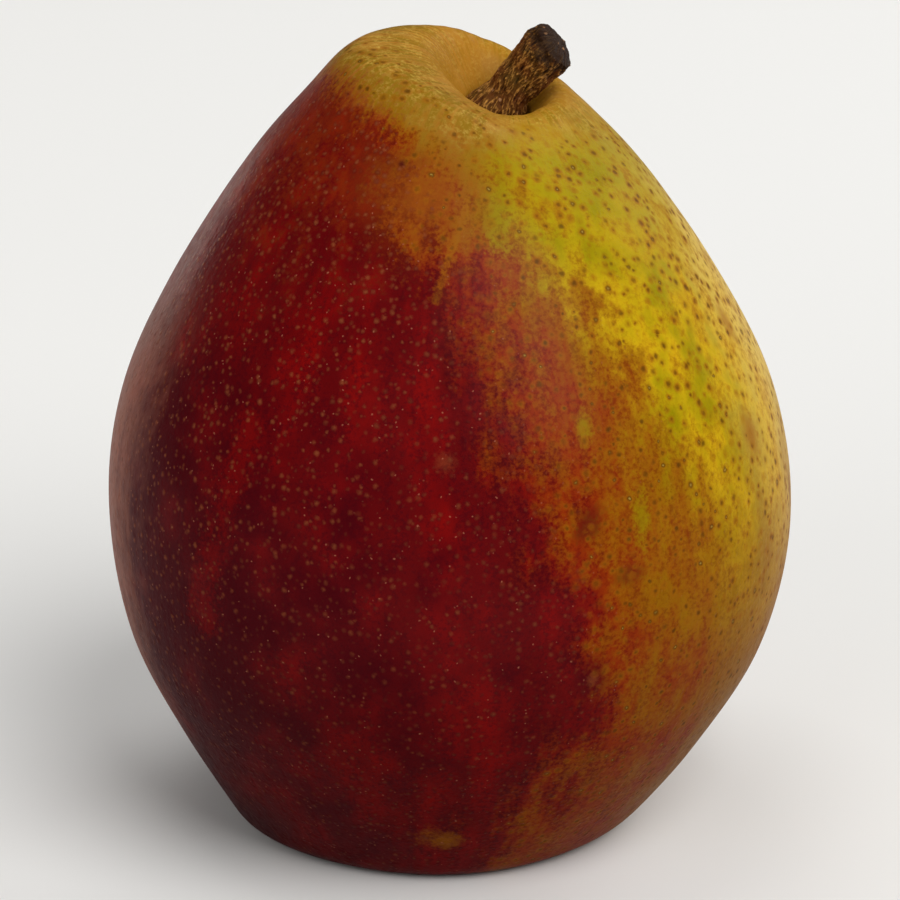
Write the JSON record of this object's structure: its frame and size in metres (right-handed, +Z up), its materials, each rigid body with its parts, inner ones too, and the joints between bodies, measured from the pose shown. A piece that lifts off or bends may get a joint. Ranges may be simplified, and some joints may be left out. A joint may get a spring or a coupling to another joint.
{
  "type": "pear",
  "caption": "Ripe dessert pear with a dark red blush over yellow-green skin and a short thick woody stem, standing on its eye end.",
  "frame": {"origin": "on the surface that the pear stands on, under the middle of its bounding box", "axes": "+Z up from the eye end to the crown; +X towards the side that the stem leans to; -Y towards the front, where the blush meets the yellow side"},
  "size_m": [0.0762, 0.0756, 0.0907],
  "materials": {
    "skin": "satin waxy skin, dark crimson blush over yellow-green, with russet at the crown and fine lenticel dots",
    "stem_bark": "rough, lengthwise wrinkled brown bark with a near-black cut end",
    "dried_calyx": "dry, matt brown leaf",
    "dried_stamens": "dry, matt dark brown"
  },
  "bodies": {
    "root": {"fruit": "skin", "stem": "stem_bark", "sepal_1": "dried_calyx", "sepal_2": "dried_calyx", "sepal_3": "dried_calyx", "sepal_4": "dried_calyx", "sepal_5": "dried_calyx", "stamen_tuft": "dried_stamens"}
  },
  "joints": []
}
